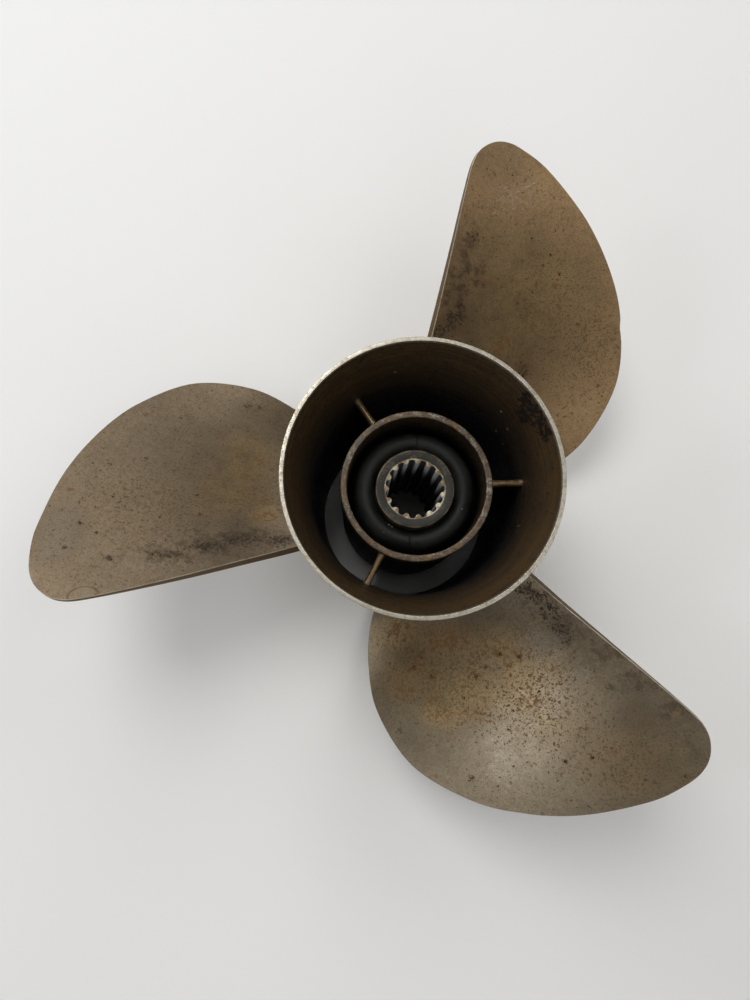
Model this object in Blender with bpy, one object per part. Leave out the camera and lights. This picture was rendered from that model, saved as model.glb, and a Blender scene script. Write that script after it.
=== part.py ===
# Outboard motor propeller: three right-hand blades on a barrel that lets the exhaust out through the hub.
# The shaft axis is Z, the origin lies on it in the plane of the barrel's forward face, and +Z points aft.

import math

import bpy

# Driving dimensions, in millimetres and degrees
MM = 0.001
GAP = 0.3  # clearance between neighbouring pieces
FACETS = 72  # sides of a turned piece
THIRDS = (0.0, 120.0, 240.0)

BARREL_END = 92.0  # height where the straight barrel turns into the flare
BARREL_INNER = (46.5, 49.7)  # radius at the forward face and at the flare
BARREL_OUTER = (49.8, 52.8)
LIP_HEIGHT = 133.0
LIP_INNER = 59.2
LIP_OUTER = 61.0
FLARE_POWER = 1.6  # how late the flare opens
FLARE_STEPS = 8
EDGE_BREAK = 0.6  # chamfer on turned edges

HUB_INNER = 32.0
HUB_OUTER = 35.1
HUB_SPAN = (8.0, 106.1)

RIB_ANGLE = 3.0
RIB_THICKNESS = 2.8
RIB_FORWARD = 12.0
RIB_AFT_AT_HUB = 101.5
RIB_AFT_AT_WALL = 99.2
RIB_ROUNDING = 1.1

SLEEVE_OUTER = 18.7
SLEEVE_SPAN = (10.0, 96.5)
SPLINE_TEETH = 15
SPLINE_MAJOR = 14.3
SPLINE_MINOR = 12.5
SPLINE_ANGLE = 12.0  # direction of one tooth's middle
SPLINE_POINTS = 8  # points round each tooth

BUSHING_FORWARD = 14.0
BUSHING_WALL_HEIGHT = 87.5
BUSHING_SLEEVE_HEIGHT = 89.0
BUSHING_CROWN = 3.6  # rise of the rounded aft end over the line between its two rims
BUSHING_STEPS = 6

BLADE_RAKE = 0.337  # rise of the face per millimetre of radius
BLADE_FACE_START = 36.7  # height of the face on the axis, at the reference angle
BLADE_REFERENCE_ANGLE = 60.0
BLADE_PITCH = 386.0
BLADE_PITCH_GAIN = 32.0  # extra pitch at the tip
BLADE_GAIN_SPAN = (112.0, 178.0)
# Radius and angle of the pressure face's edge: trailing edge from root to tip, then leading edge back
BLADE_OUTLINE = (
    (53.0, 85.6), (66.0, 84.2), (90.0, 82.0), (120.0, 80.6), (148.0, 79.6), (162.0, 78.8),
    (169.5, 77.0), (173.8, 74.4), (174.6, 71.0), (172.6, 65.6), (166.0, 56.4), (157.6, 47.5),
    (148.0, 39.6), (133.0, 30.1), (110.0, 21.6), (88.0, 16.6), (70.0, 13.8), (53.0, 12.7),
)
BLADE_THICKNESS = (8.4, 1.9)  # greatest thickness at the root and at the tip
TRAILING_THICKNESS = (3.8, 1.9)
LEADING_THICKNESS = (1.3, 1.5)
BLADE_ROOT = 51.6  # radius of the root section, just off the barrel's middle
TIP_TRIM = 0.1  # flat cut at the very tip
ROOT_FILLET = 6.0
FILLET_LEVELS = (0.0, 0.1, 0.3, 0.6, 1.0)  # shares of the fillet's height
BLADE_LEVELS = 14
CHORD_STEPS = 16
DEPTH_ROWS = 4  # rows from the face to the back


def clear_scene():
    for item in list(bpy.data.objects):
        bpy.data.objects.remove(item, do_unlink=True)


def mix(low, high, share):
    return low + (high - low) * share


def ease(value):
    value = min(max(value, 0.0), 1.0)
    return value * value * (3.0 - 2.0 * value)


def polar(radius, degrees, height):
    angle = math.radians(degrees)
    return (radius * math.cos(angle), radius * math.sin(angle), height)


def turn_point(point, degrees):
    angle = math.radians(degrees)
    x, y, z = point
    return (x * math.cos(angle) - y * math.sin(angle), x * math.sin(angle) + y * math.cos(angle), z)


def make_material(name, colour, metallic, roughness):
    material = bpy.data.materials.new(name)
    material.use_nodes = True
    shader = material.node_tree.nodes["Principled BSDF"]
    shader.inputs["Base Color"].default_value = (*colour, 1.0)
    shader.inputs["Metallic"].default_value = metallic
    shader.inputs["Roughness"].default_value = roughness
    return material


def add_object(name, points, faces, material):
    mesh = bpy.data.meshes.new(name)
    mesh.from_pydata([tuple(value * MM for value in point) for point in points], [], faces)
    mesh.update()
    mesh.shade_smooth()
    mesh.set_sharp_from_angle(angle=math.radians(28.0))
    mesh.materials.append(material)
    made = bpy.data.objects.new(name, mesh)
    bpy.context.scene.collection.objects.link(made)
    return made


# Quads between neighbouring rings of points, from the last ring back to the first too
def skin_faces(ring_count, ring_size):
    faces = []
    for ring in range(ring_count):
        here = ring * ring_size
        above = ((ring + 1) % ring_count) * ring_size
        for index in range(ring_size):
            after = (index + 1) % ring_size
            faces.append((here + index, here + after, above + after, above + index))
    return faces


# The skin of a bent block: place gives the point at each whole step along its three directions
def bent_block(counts, place):
    points = []
    index_of = {}
    faces = []

    def corner(key):
        if key not in index_of:
            index_of[key] = len(points)
            points.append(place(*key))
        return index_of[key]

    for axis in range(3):
        first = (axis + 1) % 3
        second = (axis + 2) % 3
        for side in (0, counts[axis]):
            for a in range(counts[first]):
                for b in range(counts[second]):
                    quad = []
                    for step_a, step_b in ((0, 0), (1, 0), (1, 1), (0, 1)):
                        key = [side] * 3
                        key[first] = a + step_a
                        key[second] = b + step_b
                        quad.append(corner(tuple(key)))
                    faces.append(tuple(quad) if side else tuple(reversed(quad)))
    return points, faces


# A closed profile of (radius, height), listed anticlockwise, turned about the axis
def turned(name, profile, material):
    points = []
    for radius, height in profile:
        for step in range(FACETS):
            points.append(polar(radius, 360.0 * step / FACETS, height))
    return add_object(name, points, skin_faces(len(profile), FACETS), material)


def barrel_inner(height):
    return mix(*BARREL_INNER, height / BARREL_END)


def barrel_outer(height):
    return mix(*BARREL_OUTER, height / BARREL_END)


# Share of the flare's opening at a height: zero at the barrel, one at the lip, rising as a power
def flare_share(height):
    return max(0.0, (height - BARREL_END) / (LIP_HEIGHT - BARREL_END)) ** FLARE_POWER


def flare_inner(height):
    return mix(BARREL_INNER[1], LIP_INNER, flare_share(height))


def flare_outer(height):
    return mix(BARREL_OUTER[1], LIP_OUTER, flare_share(height))


def wall_inner(height):
    return barrel_inner(height) if height <= BARREL_END else flare_inner(height)


def make_barrel(material):
    top = BARREL_END - GAP / 2
    profile = [
        (barrel_inner(0.0) + EDGE_BREAK, 0.0),
        (barrel_outer(0.0) - EDGE_BREAK, 0.0),
        (barrel_outer(EDGE_BREAK), EDGE_BREAK),
        (barrel_outer(top), top),
        (barrel_inner(top), top),
        (barrel_inner(EDGE_BREAK), EDGE_BREAK),
    ]
    return turned("barrel", profile, material)


def make_flare(material):
    bottom = BARREL_END + GAP / 2
    heights = [mix(bottom, LIP_HEIGHT, step / FLARE_STEPS) for step in range(FLARE_STEPS + 1)]
    outside = [(flare_outer(height), height) for height in heights]
    inside = [(flare_inner(height), height) for height in reversed(heights)]
    return turned("exhaust_flare", outside + inside, material)


def make_inner_hub(material):
    bottom, top = HUB_SPAN
    profile = [
        (HUB_INNER + EDGE_BREAK, bottom),
        (HUB_OUTER - EDGE_BREAK, bottom),
        (HUB_OUTER, bottom + EDGE_BREAK),
        (HUB_OUTER, top - EDGE_BREAK),
        (HUB_OUTER - EDGE_BREAK, top),
        (HUB_INNER + EDGE_BREAK, top),
        (HUB_INNER, top - EDGE_BREAK),
        (HUB_INNER, bottom + EDGE_BREAK),
    ]
    return turned("inner_hub", profile, material)


# Height of the rib's aft edge, which slopes down a little from the hub to the wall
def rib_aft(share):
    return mix(RIB_AFT_AT_HUB, RIB_AFT_AT_WALL, share)


# A thin plate between the inner hub and the wall, with its aft and forward edges rounded
def make_rib(number, angle, material):
    inside = HUB_OUTER + GAP
    half = RIB_THICKNESS / 2
    widths = (-half, -half + RIB_ROUNDING, half - RIB_ROUNDING, half)

    def place(outward, side, level):
        trim = RIB_ROUNDING if side in (0, 3) else 0.0
        height = (RIB_FORWARD + trim, BARREL_END, rib_aft(outward) - trim)[level]
        wall = wall_inner(height)
        radius = mix(inside, wall - GAP, outward)
        return turn_point((radius, widths[side], height), angle)

    points, faces = bent_block((1, 3, 2), place)
    return add_object(f"rib_{number}", points, faces, material)


# Radius of the bore at an angle: a rounded tooth that swings between the major and the minor radius
def spline_radius(degrees):
    phase = math.cos(math.radians((degrees - SPLINE_ANGLE) * SPLINE_TEETH))
    middle = (SPLINE_MAJOR + SPLINE_MINOR) / 2
    swing = (SPLINE_MAJOR - SPLINE_MINOR) / 2
    return middle - swing * math.tanh(1.8 * phase) / math.tanh(1.8)


def make_sleeve(material):
    bottom, top = SLEEVE_SPAN
    count = SPLINE_TEETH * SPLINE_POINTS
    step = 360.0 / count
    rings = (
        (SLEEVE_OUTER - EDGE_BREAK, bottom),
        (SLEEVE_OUTER, bottom + EDGE_BREAK),
        (SLEEVE_OUTER, top - EDGE_BREAK),
        (SLEEVE_OUTER - EDGE_BREAK, top),
    )
    points = [polar(radius, index * step, height) for radius, height in rings for index in range(count)]
    for height in (top, bottom):
        points += [polar(spline_radius(index * step), index * step, height) for index in range(count)]
    return add_object("spline_sleeve", points, skin_faces(len(rings) + 2, count), material)


def make_bushing(material):
    inner = SLEEVE_OUTER + GAP
    outer = HUB_INNER - GAP
    profile = [(inner, BUSHING_FORWARD), (outer, BUSHING_FORWARD)]
    for step in range(BUSHING_STEPS + 1):
        share = step / BUSHING_STEPS
        rise = BUSHING_CROWN * math.sin(math.pi * share) ** 0.7
        height = mix(BUSHING_WALL_HEIGHT, BUSHING_SLEEVE_HEIGHT, share) + rise
        profile.append((mix(outer, inner, share), height))
    return turned("rubber_bushing", profile, material)


# Points on a smooth curve through the outline: a Catmull-Rom spline, with its ends carried straight on
def smooth_outline(steps_each=24):
    points = [polar(radius, angle, 0.0)[:2] for radius, angle in BLADE_OUTLINE]
    first = tuple(2 * a - b for a, b in zip(points[0], points[1]))
    last = tuple(2 * a - b for a, b in zip(points[-1], points[-2]))
    points = [first, *points, last]
    curve = []
    for p0, p1, p2, p3 in zip(points, points[1:], points[2:], points[3:]):
        for step in range(steps_each):
            t = step / steps_each
            curve.append(tuple(
                0.5 * (2 * b + (c - a) * t + (2 * a - 5 * b + 4 * c - d) * t * t
                       + (3 * b - a - 3 * c + d) * t ** 3)
                for a, b, c, d in zip(p0, p1, p2, p3)
            ))
    curve.append(points[-2])
    return [(math.hypot(x, y), math.degrees(math.atan2(y, x))) for x, y in curve]


# Angle of one edge at a radius, from the part of the outline on that side of the tip
def angle_at(edge, radius):
    if radius <= edge[0][0]:
        return edge[0][1]
    for (low, angle_low), (high, angle_high) in zip(edge, edge[1:]):
        if low <= radius <= high:
            return mix(angle_low, angle_high, (radius - low) / max(high - low, 1e-9))
    return edge[-1][1]


def blade_pitch(radius):
    low, high = BLADE_GAIN_SPAN
    return BLADE_PITCH + BLADE_PITCH_GAIN * ease((radius - low) / (high - low))


# Height of the pressure face: a raked helicoid, whose pitch grows a little towards the tip
def face_height(radius, angle):
    turn = (angle - BLADE_REFERENCE_ANGLE) / 360.0
    return BLADE_FACE_START + BLADE_RAKE * radius + blade_pitch(radius) * turn


# Thickness of a section: a hump over the straight run from the leading to the trailing edge's thickness
def blade_thickness(outward, across):
    greatest = mix(*BLADE_THICKNESS, outward ** 0.8)
    trailing = mix(*TRAILING_THICKNESS, ease(outward * 1.4 - 0.4))
    leading = mix(*LEADING_THICKNESS, outward)
    base = mix(leading, trailing, across)
    hump = max(0.0, greatest - (leading + trailing) / 2)
    return base + hump * math.sin(math.pi * across) ** 0.75


# Extra thickness on each side at a height above the root: a quarter round, fading at the two edges
def fillet_offset(above, across):
    if above >= ROOT_FILLET:
        return 0.0
    reach = ROOT_FILLET - above
    return (ROOT_FILLET - math.sqrt(ROOT_FILLET ** 2 - reach ** 2)) * math.sin(math.pi * across) ** 0.5


# A point of the blade on the cylinder at a level, at a share of the chord and of the depth from face to back
def blade_point(edges, tip, level, across, inward):
    outward = (level - BLADE_ROOT) / (tip - BLADE_ROOT)
    thickness = blade_thickness(outward, across)
    swell = fillet_offset(level - BLADE_ROOT, across)
    depth = mix(-swell, thickness + swell, inward)
    # The leading edge's wall is a half round that stands out ahead of the section
    ahead = thickness / 2 * math.sin(math.pi * inward) if across == 0.0 else 0.0
    slope = math.atan2(blade_pitch(level), 2 * math.pi * level)
    angle = mix(angle_at(edges[0], level), angle_at(edges[1], level), across)
    height = face_height(level, angle) - depth * math.cos(slope) - ahead * math.sin(slope)
    angle += math.degrees((depth * math.sin(slope) - ahead * math.cos(slope)) / level)
    # Near the root the section follows the barrel's taper
    taper = barrel_outer(height) + GAP - BLADE_ROOT
    radius = level + taper * (1.0 - ease((level - BLADE_ROOT) / (2 * ROOT_FILLET)))
    return polar(radius, angle, height)


def blade_levels(tip):
    levels = [BLADE_ROOT + ROOT_FILLET * share for share in FILLET_LEVELS]
    start = levels[-1]
    for step in range(1, BLADE_LEVELS + 1):
        levels.append(start + (tip - start) * math.sin(math.pi / 2 * step / BLADE_LEVELS))
    return levels


def make_blade(number, angle, material):
    outline = smooth_outline()
    peak = max(range(len(outline)), key=lambda index: outline[index][0])
    edges = (outline[:peak - 1:-1], outline[:peak + 1])
    tip = outline[peak][0] - TIP_TRIM
    levels = blade_levels(tip)

    def place(step, level, row):
        across = 0.5 - 0.5 * math.cos(math.pi * step / CHORD_STEPS)
        return turn_point(blade_point(edges, tip, levels[level], across, row / DEPTH_ROWS), angle)

    points, faces = bent_block((CHORD_STEPS, len(levels) - 1, DEPTH_ROWS), place)
    return add_object(f"blade_{number}", points, faces, material)


def main():
    clear_scene()
    wall = make_material("dark_wall", (0.12, 0.09, 0.07), 0.8, 0.55)
    machined = make_material("machined_edge", (0.55, 0.52, 0.45), 0.9, 0.35)
    blade = make_material("blade_steel", (0.34, 0.30, 0.26), 0.9, 0.42)
    hub = make_material("rusty_hub", (0.30, 0.24, 0.22), 0.7, 0.6)
    rubber = make_material("black_rubber", (0.02, 0.02, 0.02), 0.0, 0.8)
    sleeve = make_material("sleeve_bronze", (0.55, 0.45, 0.28), 0.9, 0.4)
    make_barrel(wall)
    make_flare(machined)
    make_inner_hub(hub)
    for number, turn in enumerate(THIRDS, 1):
        make_rib(number, RIB_ANGLE + turn, hub)
        make_blade(number, turn, blade)
    make_bushing(rubber)
    make_sleeve(sleeve)


main()
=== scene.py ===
import math
from collections import Counter

import bmesh
import bpy
import numpy as np
from mathutils import Matrix, Vector


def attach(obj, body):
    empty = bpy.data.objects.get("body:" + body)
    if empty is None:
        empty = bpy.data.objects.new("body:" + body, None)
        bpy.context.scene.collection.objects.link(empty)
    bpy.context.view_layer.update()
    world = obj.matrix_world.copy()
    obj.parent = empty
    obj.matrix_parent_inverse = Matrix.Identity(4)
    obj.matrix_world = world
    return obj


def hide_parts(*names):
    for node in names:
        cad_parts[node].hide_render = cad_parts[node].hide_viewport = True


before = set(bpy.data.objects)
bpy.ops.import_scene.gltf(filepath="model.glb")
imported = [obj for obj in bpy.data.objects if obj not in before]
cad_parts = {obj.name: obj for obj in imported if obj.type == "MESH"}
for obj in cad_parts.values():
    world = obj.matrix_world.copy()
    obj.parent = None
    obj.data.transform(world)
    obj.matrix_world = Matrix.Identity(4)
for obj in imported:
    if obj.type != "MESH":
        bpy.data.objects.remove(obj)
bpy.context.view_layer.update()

# An outboard motor propeller, standing on its forward end and seen from above its aft end.
# The shaft axis is Z with +Z aft. Lengths are metres unless a name says mm, and angles are degrees.

mm = 0.001
print("frame loaded")

# Small helpers for shapes


def ease(value):
    # 3t^2 - 2t^3, held between 0 and 1
    value = np.clip(value, 0.0, 1.0)
    return value * value * (3.0 - 2.0 * value)


def lerp(low, high, share):
    return low + (high - low) * share


def bump(value, centre, width):
    # a bell of height 1: exp(-((v - c) / w)^2)
    return np.exp(-((value - centre) / width) ** 2)


def polarGrid(radius, degrees, height):
    # (r cos a, r sin a, z) for whole arrays
    angle = np.radians(degrees)
    flat = radius * np.cos(angle), radius * np.sin(angle)
    return np.stack(np.broadcast_arrays(*flat, height), axis=-1)


def turnGrid(grid, degrees):
    # the grid turned about the shaft axis
    c, s = math.cos(math.radians(degrees)), math.sin(math.radians(degrees))
    return grid @ np.array([[c, s, 0.0], [-s, c, 0.0], [0.0, 0.0, 1.0]])


def smoothCurve(points, perSpan):
    # Catmull-Rom through the points, with both ends carried straight on
    points = np.array(points, float)
    padded = np.vstack([2 * points[0] - points[1], points, 2 * points[-1] - points[-2]])
    p0, p1, p2, p3 = (padded[i:len(padded) - 3 + i, None] for i in range(4))
    t = np.linspace(0.0, 1.0, perSpan, endpoint=False)[None, :, None]
    curve = 0.5 * (2 * p1 + (p2 - p0) * t + (2 * p0 - 5 * p1 + 4 * p2 - p3) * t ** 2
                   + (3 * p1 - p0 - 3 * p2 + p3) * t ** 3)
    return np.vstack([curve.reshape(-1, points.shape[1]), points[-1:]])


def newObject(name, data):
    made = bpy.data.objects.new(name, data)
    bpy.context.scene.collection.objects.link(made)
    return made


def skinMesh(name, grids, sharpAngle, attributes=None):
    # grids of (rows, columns, 3) in mm become quads, welded where they meet into one closed skin;
    # each grid takes the material slot of its number
    points, quads, marks, start = [], [], [], 0
    for number, grid in enumerate(grids):
        rows, columns = grid.shape[:2]
        index = np.arange(rows * columns).reshape(rows, columns) + start
        corners = (index[:-1, :-1], index[:-1, 1:], index[1:, 1:], index[1:, :-1])
        quad = np.stack(corners, axis=-1).reshape(-1, 4)
        points.append(grid.reshape(-1, 3) * mm)
        quads.append(quad)
        marks.append(np.full(len(quad), number, np.int32))
        start += rows * columns
    points, quads, marks = np.vstack(points), np.vstack(quads), np.concatenate(marks)
    mesh = bpy.data.meshes.new(name)
    mesh.from_pydata(points, [], quads)
    mesh.polygons.foreach_set("material_index", marks)
    for label, values in (attributes or {}).items():
        layer = mesh.attributes.new(label, "FLOAT", "POINT")
        layer.data.foreach_set("value", values.reshape(-1).astype(np.float32))
    shell = bmesh.new()
    shell.from_mesh(mesh)
    bmesh.ops.remove_doubles(shell, verts=shell.verts, dist=0.000002)
    bmesh.ops.dissolve_degenerate(shell, edges=shell.edges, dist=0.000001)
    bmesh.ops.recalc_face_normals(shell, faces=shell.faces)
    shell.to_mesh(mesh)
    shell.free()
    mesh.shade_smooth()
    mesh.set_sharp_from_angle(angle=math.radians(sharpAngle))
    return newObject(name, mesh)


def turnedGrid(profile, sides):
    # each (radius, height) of the profile carried round the axis, with the last column on the first
    profile = np.array(profile, float)
    angles = np.linspace(0.0, 360.0, sides + 1)
    return polarGrid(profile[:, :1], angles[None, :], profile[:, 1:])


def wallPoints(radius, heights):
    # profile points, one at each height
    return np.stack(np.broadcast_arrays(radius, heights), axis=-1)


def roundCorner(before, corner, after, radius, steps=5):
    # a profile's corner trimmed to a quarter-like arc, a quadratic curve between two tangent points
    before, corner, after = (np.array(p, float) for p in (before, corner, after))
    start = corner + (before - corner) / np.linalg.norm(before - corner) * radius
    end = corner + (after - corner) / np.linalg.norm(after - corner) * radius
    t = np.linspace(0.0, 1.0, steps)[:, None]
    return (1 - t) ** 2 * start + 2 * t * (1 - t) * corner + t ** 2 * end


# Small helpers for materials


work = {}  # the material that is being made, its node tree and its coordinates


def setInputs(node, values):
    # each input linked to a socket, or set to a value
    for key, value in values.items():
        if isinstance(value, bpy.types.NodeSocket):
            work["tree"].links.new(value, node.inputs[key])
        else:
            node.inputs[key].default_value = value


def addNode(kind, values=None, **settings):
    made = work["tree"].nodes.new("ShaderNode" + kind)
    for key, value in settings.items():
        setattr(made, key, value)
    setInputs(made, values or {})
    return made


def mathNode(operation, first, second=0.0, clamp=False):
    values = {0: first, 1: second}
    return addNode("Math", values, operation=operation, use_clamp=clamp).outputs[0]


def vectorNode(operation, values):
    made = addNode("VectorMath", values, operation=operation)
    return made.outputs["Value" if operation == "LENGTH" else "Vector"]


def times(first, second):
    return mathNode("MULTIPLY", first, second)


def weighted(*pairs):
    # the sum of each value times its weight
    total = times(*pairs[0])
    for pair in pairs[1:]:
        total = mathNode("ADD", total, times(*pair))
    return total


def strongest(*pairs):
    # the greatest of each mask times its weight
    total = times(*pairs[0])
    for pair in pairs[1:]:
        total = mathNode("MAXIMUM", total, times(*pair))
    return total


def mixColour(factor, first, second, blend="MIX"):
    def full(value):
        return value if isinstance(value, bpy.types.NodeSocket) else (*value, 1.0)
    values = {0: factor, 6: full(first), 7: full(second)}
    return addNode("Mix", values, data_type="RGBA", blend_type=blend).outputs[2]


def cover(colour, over, mask, amount=1.0):
    # a colour with another laid over it where the mask is
    return mixColour(times(mask, amount), colour, over)


def mixValue(factor, first, second):
    return addNode("Mix", {0: factor, 2: first, 3: second}, data_type="FLOAT").outputs[0]


def noiseNode(scale, detail=4, roughness=0.55, distortion=0.0, coords=None):
    values = {"Vector": coords or work["coords"], "Scale": scale, "Detail": detail,
              "Roughness": roughness, "Distortion": distortion}
    return addNode("TexNoise", values).outputs["Fac"]


def stretchedNoise(stretch, detail=2, roughness=0.5, turn=(0.0, 0.0, 0.0)):
    # noise with a scale of its own along each axis
    values = {"Vector": work["coords"], "Rotation": turn, "Scale": stretch}
    stretched = addNode("Mapping", values).outputs[0]
    return noiseNode(1, detail, roughness, coords=stretched)


def ramp(value, low, high, outLow=0.0, outHigh=1.0):
    # a smooth step: 0 at low and 1 at high, or outLow and outHigh
    values = {"Value": value, "From Min": low, "From Max": high,
              "To Min": outLow, "To Max": outHigh}
    return addNode("MapRange", values, interpolation_type="SMOOTHSTEP").outputs[0]


def rampMm(value, spanMm, outLow=0.0, outHigh=1.0):
    # the same with low and high in millimetres
    return ramp(value, spanMm[0] * mm, spanMm[1] * mm, outLow, outHigh)


def noiseRange(noise, low, high):
    # noise spread over a range of values
    return ramp(noise, 0.3, 0.7, low, high)


def placesMask(places, coords=None):
    # the strongest of some spots, each x, y, z and three radii in millimetres: 1 inside the
    # ellipsoid, fading to 0 over its border
    total = 0.0
    for place in places:
        centre, scale = [c * mm for c in place[:3]], [1.0 / (r * mm) for r in place[3:]]
        moved = vectorNode("SUBTRACT", {0: coords or work["coords"], 1: centre})
        away = vectorNode("LENGTH", {0: vectorNode("MULTIPLY", {0: moved, 1: scale})})
        total = mathNode("MAXIMUM", total, ramp(away, 1.25, 0.25))
    return total


def raggedMask(field, noise, keep, spread, low, high):
    # a soft field broken up by noise: step(keep * field + spread * (noise - 0.5))
    shaken = mathNode("SUBTRACT", noise, 0.5)
    return ramp(weighted((field, keep), (shaken, spread)), low, high)


def pushedCoords(scale, amountMm):
    # coordinates shaken by noise, so that spots come out ragged
    coords = work["coords"]
    values = {"Vector": coords, "Scale": scale, "Detail": 3.0}
    push = addNode("TexNoise", values).outputs["Color"]
    centred = vectorNode("SUBTRACT", {0: push, 1: (0.5, 0.5, 0.5)})
    moved = vectorNode("SCALE", {0: centred, "Scale": amountMm * mm})
    return vectorNode("ADD", {0: moved, 1: coords})


def turnedCoords(coords, degrees):
    values = {"Vector": coords, "Angle": math.radians(degrees)}
    return addNode("VectorRotate", values, rotation_type="Z_AXIS").outputs[0]


def flatSpots(coords, cellMm, chance, smallMm, largeMm):
    # at most one spot to each cell of the plan view, its radius between two, most of them small
    values = {"Vector": coords, "Scale": 1000.0 / cellMm, "Randomness": 1.0}
    cells = addNode("TexVoronoi", values, voronoi_dimensions="2D")
    draw = addNode("SeparateColor", {0: cells.outputs["Color"]})
    kept = mathNode("LESS_THAN", draw.outputs[0], chance)
    size = mathNode("POWER", draw.outputs[1], 1.8)
    size = mixValue(size, smallMm / cellMm, largeMm / cellMm)
    inside = ramp(cells.outputs["Distance"], size, times(size, 0.45))
    faint = mixValue(draw.outputs[2], 0.50, 1.0)
    return times(times(kept, inside), faint)


def noisePeaks(scale, crowd, low, high, coords=None):
    # ragged specks where noise is high, and more of them where it is crowded: step(noise + crowd)
    noise = noiseNode(scale, 2, 0.5, coords=coords)
    return ramp(mathNode("ADD", noise, crowd), low, high)


def scaleColour(colour, factor):
    grey = addNode("CombineColor", {0: factor, 1: factor, 2: factor}).outputs[0]
    return mixColour(1.0, colour, grey, "MULTIPLY")


def shadeBy(colour, noise, low, high, dark, bright):
    # a colour times a smooth step of noise
    return scaleColour(colour, ramp(noise, low, high, dark, bright))


def attributeValue(name):
    return addNode("Attribute", attribute_name=name, attribute_type="GEOMETRY").outputs["Fac"]


def heightAlong():
    return addNode("SeparateXYZ", {0: work["coords"]}).outputs["Z"]


def startMaterial(name):
    material = bpy.data.materials.new(name)
    material.use_nodes = True
    work.update(material=material, tree=material.node_tree)
    work["coords"] = addNode("TexCoord").outputs["Object"]


def finishMaterial(colour, rough, metal, relief, reliefMm, strength=0.5, specular=0.5):
    # joins all to the shader, with a relief in millimetres that bends its normal
    raised = {"Height": relief, "Distance": reliefMm * mm, "Strength": strength}
    values = {"Base Color": colour, "Roughness": rough, "Metallic": metal,
              "Specular IOR Level": specular, "Normal": addNode("Bump", raised).outputs[0]}
    setInputs(work["tree"].nodes["Principled BSDF"], values)
    return work["material"]


# Blade finish: satin stainless under a taupe film, with specks, rust blooms and soot by the hub

bladeFinish = {
    "filmContrast": (0.90, 1.08),
    # worn bare metal, which on blade 3 also paints a sheen of reflected light
    "rubbedMetalAndSheen": (0.33, 0.29, 0.225),
    "edgeMetal": (0.36, 0.31, 0.23),
    "edgeWall": (0.095, 0.060, 0.028),
    "speckColour": (0.072, 0.044, 0.023),
    "dotColour": (0.048, 0.024, 0.012),
    "haloColour": (0.228, 0.160, 0.080),
    "warmColour": (0.420, 0.292, 0.138),
    # painted shade, laid on the film towards the blade tips
    "paintedShadeColour": (0.130, 0.091, 0.058),
    "grimeColour": (0.100, 0.068, 0.043),
    "rustColour": (0.182, 0.092, 0.030),
    "rustySpeck": (0.118, 0.060, 0.022),
    "sootColour": (0.044, 0.031, 0.021),
    "roughness": (0.30, 0.36),
    "metallic": 0.86,
    "scratchLean": 28.0, "scratchHeightMm": 101.0, "scratchWideMm": 0.42, "scratchDeepMm": 20.0,
    "dotDeepMm": 6.0,
}
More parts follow.
